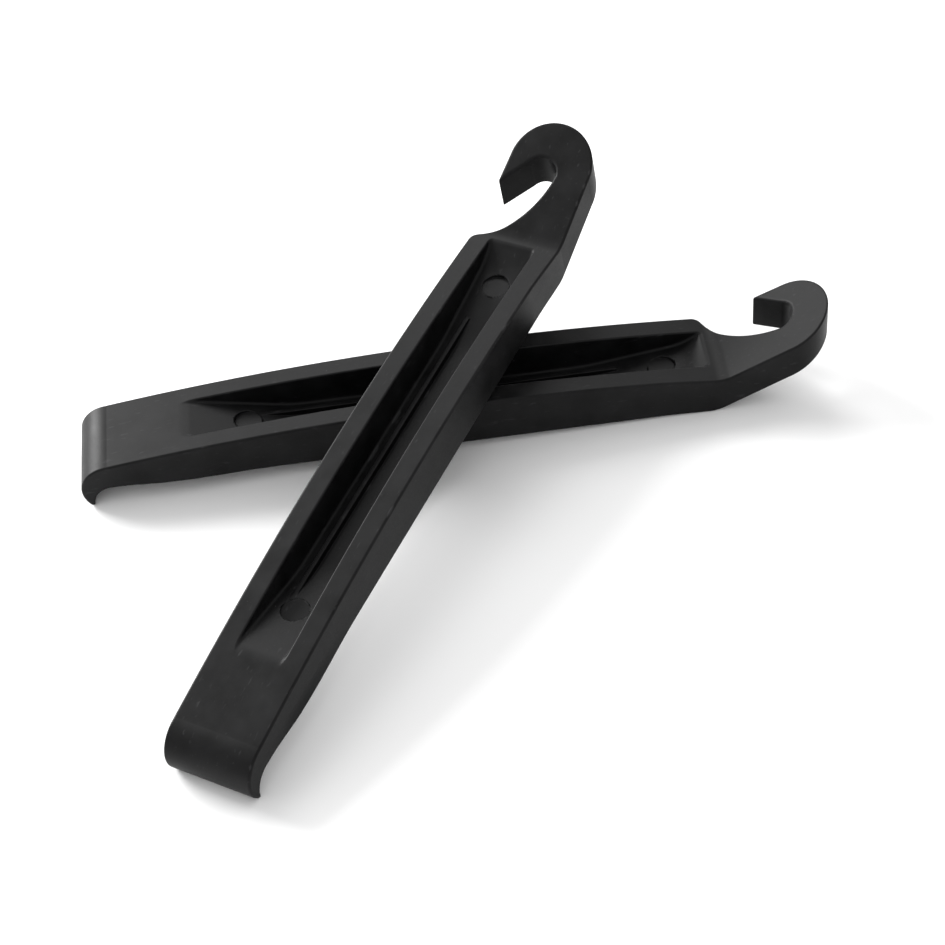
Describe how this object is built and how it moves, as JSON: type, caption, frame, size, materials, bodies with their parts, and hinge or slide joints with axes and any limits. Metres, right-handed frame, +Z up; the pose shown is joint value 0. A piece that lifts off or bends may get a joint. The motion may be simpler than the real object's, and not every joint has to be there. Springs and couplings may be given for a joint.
{
  "type": "tyre lever pair",
  "caption": "Slim arched nylon levers with a recessed top, a hooked lip at one end for a tyre bead and a spoke hook on a raised neck at the other, one laid across the other.",
  "frame": {"origin": "middle of the pair seen from above, on the surface that it rests on", "axes": "+X along the lower lever from its nose to its hook, +Z up"},
  "size_m": [0.115, 0.0984, 0.0304],
  "materials": {
    "lower_lever_nylon": "satin moulded nylon with a fine grain and light scuffs",
    "upper_lever_nylon": "satin moulded nylon with a fine grain and light scuffs"
  },
  "bodies": {
    "lower_lever": {"lower_lever": "lower_lever_nylon"},
    "upper_lever": {"upper_lever": "upper_lever_nylon"}
  },
  "joints": [
    {"name": "lip_pivot", "type": "hinge", "parent": "lower_lever", "child": "upper_lever", "pos_m": [-0.03943, -0.04399, 0.0004], "axis": [0.831, -0.5563, 0], "range_deg": [0, 45]}
  ]
}
